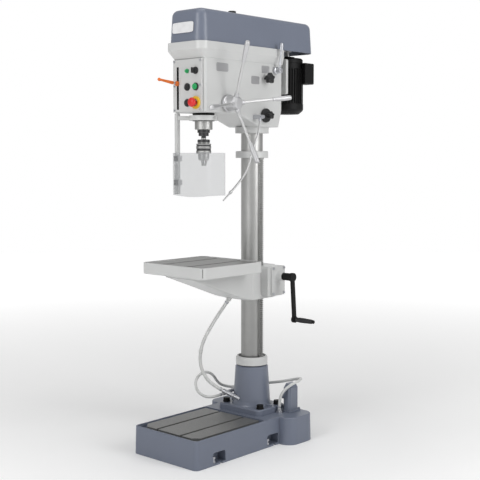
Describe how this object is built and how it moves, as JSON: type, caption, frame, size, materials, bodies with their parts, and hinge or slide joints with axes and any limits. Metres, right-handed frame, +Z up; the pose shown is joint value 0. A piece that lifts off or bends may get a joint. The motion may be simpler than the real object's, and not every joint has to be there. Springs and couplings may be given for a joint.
{
  "type": "drill press",
  "caption": "Floor-standing column drill press with a T-slotted base, a crank-lifted table, a belt drive under a long cover, a four-spoke feed, a chip guard and a coolant hose.",
  "frame": {"origin": "on the floor, at the column's axis", "axes": "+Z up along the column, -Y towards the operator, +X towards the feed handles"},
  "size_m": [0.602, 0.901, 1.942],
  "materials": {
    "blue_grey": "semi-gloss blue-grey machine enamel",
    "light_grey": "semi-gloss light grey machine enamel",
    "black_paint": "satin black",
    "ground_steel": "ground and oiled",
    "bright_steel": "turned",
    "zinc_steel": "zinc plated",
    "aluminium": "turned",
    "black_plastic": "moulded, satin",
    "orange_plastic": "moulded",
    "green_plastic": "moulded, translucent",
    "red_plastic": "moulded",
    "belt_rubber": "moulded",
    "hose_pvc": "translucent",
    "clear_sheet": "clear polycarbonate"
  },
  "bodies": {
    "stand": {"base_casting": "blue_grey", "levelling_bolts": "zinc_steel", "column_foot": "blue_grey", "foot_bolts": "black_paint", "column": "ground_steel", "rack_rings": "light_grey", "pump_body": "blue_grey", "coolant_fittings": "zinc_steel", "supply_hose": "hose_pvc", "drain_hose": "hose_pvc", "head_casting": "light_grey", "front_panel": "light_grey", "panel_screws": "zinc_steel", "switch_bezels": "black_plastic", "signal_lamp": "green_plastic", "pulley_tray": "light_grey", "quill_nose": "black_paint", "drive_belt": "belt_rubber"},
    "rack": {"rack": "bright_steel"},
    "table": {"table_bracket": "light_grey", "work_table": "light_grey", "gearbox_cover": "light_grey", "gearbox_screws": "zinc_steel"},
    "table_pinion": {"rack_pinion": "bright_steel"},
    "crank": {"worm_shaft": "bright_steel", "crank_arm": "black_paint"},
    "crank_grip": {"crank_grip": "black_plastic"},
    "quill": {"quill": "ground_steel"},
    "spindle": {"spindle": "ground_steel", "chuck_body": "ground_steel"},
    "chuck_sleeve": {"chuck_sleeve": "ground_steel"},
    "jaw_1": {"chuck_jaw_1": "ground_steel"},
    "jaw_2": {"chuck_jaw_2": "ground_steel"},
    "jaw_3": {"chuck_jaw_3": "ground_steel"},
    "feed": {"feed_shaft": "bright_steel", "feed_hub": "aluminium", "feed_spokes": "bright_steel", "feed_grips": "aluminium"},
    "spindle_pulley": {"spindle_pulley": "aluminium"},
    "motor": {"motor_plate": "light_grey", "motor_housing": "black_paint", "fan_cowl": "black_paint", "terminal_box": "black_paint"},
    "rotor": {"motor_shaft": "bright_steel", "motor_pulley": "aluminium"},
    "cover": {"belt_cover": "blue_grey"},
    "cover_knob": {"cover_knob": "black_plastic"},
    "tension_lever": {"tension_lever": "zinc_steel"},
    "motor_clamp": {"motor_clamp_knob": "black_plastic"},
    "tap": {"tap_knob": "black_plastic"},
    "nozzle": {"coolant_nozzle": "bright_steel"},
    "guard": {"guard_bracket": "light_grey"},
    "shield": {"guard_shield": "clear_sheet"},
    "depth_stop": {"depth_stop": "orange_plastic"},
    "quill_lock": {"quill_lock_knob": "black_plastic"},
    "selector": {"selector_knob": "black_plastic"},
    "upper_button": {"upper_push_button": "black_plastic"},
    "start_button": {"start_button": "green_plastic"},
    "lower_button": {"lower_push_button": "black_plastic"},
    "estop": {"estop_button": "red_plastic"}
  },
  "joints": [
    {"name": "table_swing", "type": "hinge", "parent": "stand", "child": "rack", "pos_m": [0, 0, 0.8], "axis": [0, 0, 1], "range_deg": [-60, 60]},
    {"name": "table_lift", "type": "slide", "parent": "rack", "child": "table", "axis": [0, 0, 1], "range_m": [-0.26, 0.26], "deforming": ["drain_hose"]},
    {"name": "table_pinion_turn", "type": "hinge", "parent": "table", "child": "table_pinion", "pos_m": [0.077, 0, 0.718], "axis": [0, 1, 0], "range_deg": [-828.61, 828.61]},
    {"name": "table_crank_turn", "type": "hinge", "parent": "table", "child": "crank", "pos_m": [0.2, 0.031, 0.758], "axis": [1, 0, 0], "range_deg": [-23182.96, 23182.96]},
    {"name": "crank_grip_spin", "type": "hinge", "parent": "crank", "child": "crank_grip", "pos_m": [0.28, 0.031, 0.568], "axis": [1, 0, 0], "continuous": true},
    {"name": "quill_feed", "type": "slide", "parent": "stand", "child": "quill", "axis": [0, 0, -1], "range_m": [0, 0.15]},
    {"name": "feed_turn", "type": "hinge", "parent": "stand", "child": "feed", "pos_m": [0.14, -0.268, 1.527], "axis": [1, 0, 0], "range_deg": [-1, 614.88]},
    {"name": "spindle_spin", "type": "hinge", "parent": "quill", "child": "spindle", "pos_m": [0, -0.316, 1.4], "axis": [0, 0, 1], "continuous": true},
    {"name": "chuck_tighten", "type": "hinge", "parent": "spindle", "child": "chuck_sleeve", "pos_m": [0, -0.316, 1.33], "axis": [0, 0, 1], "range_deg": [0, 1080]},
    {"name": "spindle_pulley_spin", "type": "hinge", "parent": "stand", "child": "spindle_pulley", "pos_m": [0, -0.316, 1.84], "axis": [0, 0, 1], "continuous": true},
    {"name": "motor_slide", "type": "slide", "parent": "stand", "child": "motor", "axis": [0, -1, 0], "range_m": [0, 0.012]},
    {"name": "motor_spin", "type": "hinge", "parent": "motor", "child": "rotor", "pos_m": [0, 0.252, 1.7], "axis": [0, 0, 1], "continuous": true},
    {"name": "tension_lever_turn", "type": "hinge", "parent": "stand", "child": "tension_lever", "pos_m": [0.115, 0.05, 1.687], "axis": [1, 0, 0], "range_deg": [-1, 46]},
    {"name": "motor_clamp_turn", "type": "hinge", "parent": "stand", "child": "motor_clamp", "pos_m": [0.12, -0.02, 1.648], "axis": [1, 0, 0], "range_deg": [-180, 180]},
    {"name": "cover_lift", "type": "slide", "parent": "stand", "child": "cover", "axis": [0, 0, 1], "range_m": [0, 0.18]},
    {"name": "cover_knob_turn", "type": "hinge", "parent": "cover", "child": "cover_knob", "pos_m": [0, -0.134, 1.93], "axis": [0, 0, 1], "continuous": true},
    {"name": "tap_turn", "type": "hinge", "parent": "stand", "child": "tap", "pos_m": [0.115, -0.019, 1.484], "axis": [1, 0, 0], "range_deg": [0, 180]},
    {"name": "nozzle_swivel", "type": "hinge", "parent": "stand", "child": "nozzle", "pos_m": [0.128, -0.092, 1.457], "axis": [0, 0, 1], "range_deg": [-20, 35]},
    {"name": "guard_swing", "type": "hinge", "parent": "stand", "child": "guard", "pos_m": [0, -0.316, 1.466], "axis": [0, 0, 1], "range_deg": [-90, 0]},
    {"name": "shield_slide", "type": "slide", "parent": "guard", "child": "shield", "axis": [0, 0, 1], "range_m": [0, 0.07]},
    {"name": "depth_stop_slide", "type": "slide", "parent": "stand", "child": "depth_stop", "axis": [0, 0, 1], "range_m": [-0.09, 0.05]},
    {"name": "quill_lock_turn", "type": "hinge", "parent": "stand", "child": "quill_lock", "pos_m": [-0.1, -0.316, 1.508], "axis": [1, 0, 0], "range_deg": [0, 90]},
    {"name": "selector_turn", "type": "hinge", "parent": "stand", "child": "selector", "pos_m": [0.047, -0.41, 1.662], "axis": [0, 1, 0], "range_deg": [-45, 45]},
    {"name": "upper_button_press", "type": "slide", "parent": "stand", "child": "upper_button", "axis": [0, 1, 0], "range_m": [0, 0.0025], "stiffness_N_per_m": 1500},
    {"name": "start_button_press", "type": "slide", "parent": "stand", "child": "start_button", "axis": [0, 1, 0], "range_m": [0, 0.004], "stiffness_N_per_m": 1500},
    {"name": "lower_button_press", "type": "slide", "parent": "stand", "child": "lower_button", "axis": [0, 1, 0], "range_m": [0, 0.0025], "stiffness_N_per_m": 1500},
    {"name": "estop_press", "type": "slide", "parent": "stand", "child": "estop", "axis": [0, 1, 0], "range_m": [0, 0.006], "stiffness_N_per_m": 1500},
    {"name": "jaw_1_slide", "type": "slide", "parent": "spindle", "child": "jaw_1", "axis": [0.1504, 0.0868, 0.9848], "range_m": [0, 0.012]},
    {"name": "jaw_2_slide", "type": "slide", "parent": "spindle", "child": "jaw_2", "axis": [-0.1504, 0.0868, 0.9848], "range_m": [0, 0.012]},
    {"name": "jaw_3_slide", "type": "slide", "parent": "spindle", "child": "jaw_3", "axis": [0, -0.1736, 0.9848], "range_m": [0, 0.012]}
  ],
  "couplings": [
    {"joint": "table_pinion_turn", "follows": "table_lift", "rad_per_m": -55.556},
    {"joint": "table_crank_turn", "follows": "table_lift", "rad_per_m": 1555.6},
    {"joint": "feed_turn", "follows": "quill_feed", "rad_per_m": 71.429},
    {"joint": "spindle_spin", "follows": "motor_spin", "ratio": 0.7463},
    {"joint": "spindle_pulley_spin", "follows": "motor_spin", "ratio": 0.7463},
    {"joint": "tension_lever_turn", "follows": "motor_slide", "rad_per_m": 65.45},
    {"joint": "jaw_1_slide", "follows": "chuck_tighten", "m_per_rad": 0.00063131},
    {"joint": "jaw_2_slide", "follows": "chuck_tighten", "m_per_rad": 0.00063131},
    {"joint": "jaw_3_slide", "follows": "chuck_tighten", "m_per_rad": 0.00063131}
  ]
}
